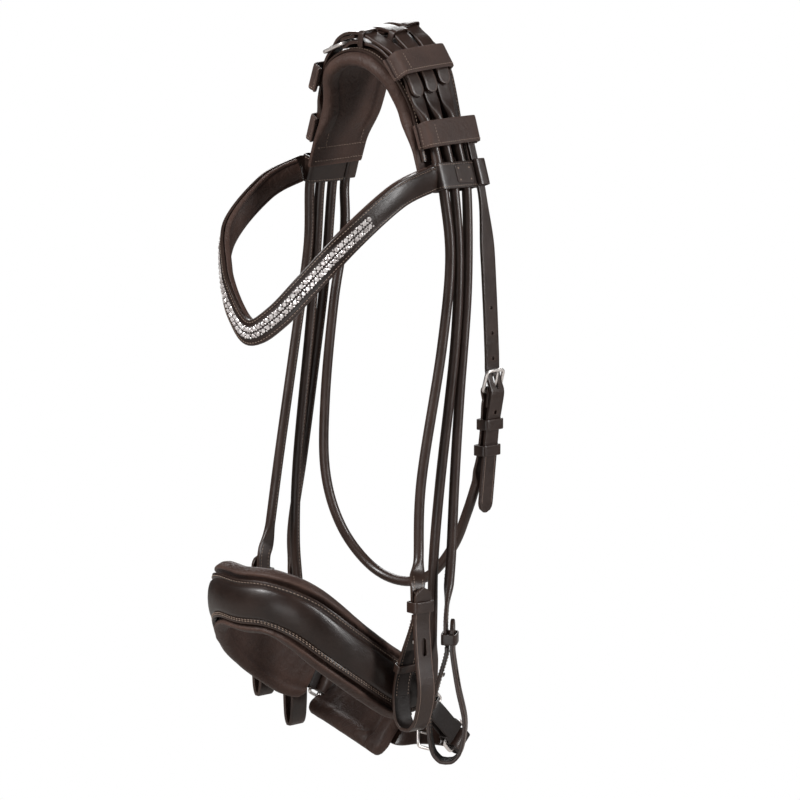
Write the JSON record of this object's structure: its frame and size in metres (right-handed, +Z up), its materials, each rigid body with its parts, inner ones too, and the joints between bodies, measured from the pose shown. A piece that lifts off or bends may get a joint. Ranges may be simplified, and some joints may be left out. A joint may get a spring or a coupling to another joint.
{
  "type": "double bridle without bits",
  "caption": "Rolled leather double bridle with a padded anatomical headpiece, V-shaped stone-set browband, throatlash, padded crank noseband and empty bit loops",
  "frame": {"origin": "middle of the underside of the headpiece's padding, on the poll", "axes": "+Z up; -Y towards the horse's nose; +X towards the horse's left, the near side"},
  "size_m": [0.1969, 0.2015, 0.5551],
  "materials": {
    "leather": "smooth very dark brown bridle leather with a low sheen, beige stitching",
    "soft_leather": "soft matte dark brown padding leather",
    "lining_leather": "matte near-black brown lining leather",
    "steel": "polished stainless steel buckles and rings",
    "crystal": "clear cut glass stones in a narrow strip"
  },
  "bodies": {
    "bridle": {"bradoon_buckle": "steel", "bradoon_poll_keeper": "leather", "browband": "leather", "browband_lining": "lining_leather", "chin_pad": "soft_leather", "chin_strap": "leather", "crank_buckle": "steel", "crank_link": "leather", "crown_strap": "leather", "crystal_strip": "crystal", "curb_buckle": "steel", "curb_poll_keeper": "leather", "far_bradoon_cheek": "leather", "far_bradoon_keeper": "leather", "far_bradoon_loop": "leather", "far_bradoon_stud": "steel", "far_brow_loop": "leather", "far_curb_cheek": "leather", "far_curb_keeper": "leather", "far_curb_loop": "leather", "far_curb_stud": "steel", "far_lower_band": "leather", "far_noseband_cheek": "leather", "far_throat_loop": "leather", "far_upper_band": "leather", "near_bradoon_cheek": "leather", "near_bradoon_keeper": "leather", "near_bradoon_loop": "leather", "near_bradoon_stud": "steel", "near_brow_loop": "leather", "near_curb_cheek": "leather", "near_curb_keeper": "leather", "near_curb_loop": "leather", "near_curb_stud": "steel", "near_lower_band": "leather", "near_noseband_cheek": "leather", "near_throat_loop": "leather", "near_upper_band": "leather", "noseband": "leather", "noseband_buckle": "steel", "noseband_padding": "soft_leather", "noseband_poll_keeper": "leather", "poll_pad": "soft_leather", "throatlash": "leather", "throatlash_billet": "leather", "throatlash_buckle": "steel", "throatlash_keeper": "leather"},
    "bradoon_tongue": {"bradoon_tongue": "steel"},
    "noseband_tongue": {"noseband_tongue": "steel"},
    "curb_tongue": {"curb_tongue": "steel"},
    "throatlash_tongue": {"throatlash_tongue": "steel"},
    "crank_tongue": {"crank_tongue": "steel"},
    "throatlash_runner": {"throatlash_runner": "leather"},
    "near_bradoon_runner": {"near_bradoon_runner": "leather"},
    "far_bradoon_runner": {"far_bradoon_runner": "leather"},
    "near_curb_runner": {"near_curb_runner": "leather"},
    "far_curb_runner": {"far_curb_runner": "leather"},
    "near_noseband_ring": {"near_noseband_ring": "steel"},
    "far_noseband_ring": {"far_noseband_ring": "steel"},
    "crank_ring": {"crank_ring": "steel"}
  },
  "joints": [
    {"name": "bradoon_tongue_turn", "type": "hinge", "parent": "bridle", "child": "bradoon_tongue", "pos_m": [-0.01351, -0.029, 0.00892], "axis": [0, 0.9914, 0.1305], "range_deg": [0, 8]},
    {"name": "noseband_tongue_turn", "type": "hinge", "parent": "bridle", "child": "noseband_tongue", "pos_m": [-0.00216, -0.01, 0.01345], "axis": [0, 0.9897, 0.1433], "range_deg": [0, 8]},
    {"name": "curb_tongue_turn", "type": "hinge", "parent": "bridle", "child": "curb_tongue", "pos_m": [-0.00789, 0.009, 0.01569], "axis": [0, 0.9905, 0.1378], "range_deg": [0, 8]},
    {"name": "throatlash_tongue_turn", "type": "hinge", "parent": "bridle", "child": "throatlash_tongue", "pos_m": [0.078, 0.029, -0.251], "axis": [0, 1, 0], "range_deg": [0, 6]},
    {"name": "crank_tongue_turn", "type": "hinge", "parent": "bridle", "child": "crank_tongue", "pos_m": [0.0459, -0.00013, -0.51672], "axis": [-0.3683, 0.3777, 0.8495], "range_deg": [0, 8]},
    {"name": "near_noseband_ring_turn", "type": "hinge", "parent": "bridle", "child": "near_noseband_ring", "pos_m": [0.0611, -0.02246, -0.484], "axis": [0, 0.7101, 0.7041], "range_deg": [-3, 3]},
    {"name": "far_noseband_ring_turn", "type": "hinge", "parent": "bridle", "child": "far_noseband_ring", "pos_m": [-0.0611, -0.02246, -0.484], "axis": [0, 0.5, 0.866], "range_deg": [-1.5, 1.5]},
    {"name": "crank_ring_turn", "type": "hinge", "parent": "bridle", "child": "crank_ring", "pos_m": [0.0611, 0.00429, -0.51098], "axis": [0, 0.7101, 0.7041], "range_deg": [-1.2, 1.2]},
    {"name": "throatlash_runner_slide", "type": "slide", "parent": "bridle", "child": "throatlash_runner", "axis": [0.05, 0.15, 0.9874], "range_m": [-0.004, 0.006]},
    {"name": "near_bradoon_runner_slide", "type": "slide", "parent": "bridle", "child": "near_bradoon_runner", "axis": [0.3207, -0.0224, 0.9469], "range_m": [-0.004, 0.004]},
    {"name": "far_bradoon_runner_slide", "type": "slide", "parent": "bridle", "child": "far_bradoon_runner", "axis": [-0.0834, 0, 0.9965], "range_m": [-0.004, 0.004]},
    {"name": "near_curb_runner_slide", "type": "slide", "parent": "bridle", "child": "near_curb_runner", "axis": [0.1873, 0.1464, 0.9713], "range_m": [-0.004, 0.004]},
    {"name": "far_curb_runner_slide", "type": "slide", "parent": "bridle", "child": "far_curb_runner", "axis": [-0.0834, 0, 0.9965], "range_m": [-0.004, 0.004]}
  ]
}
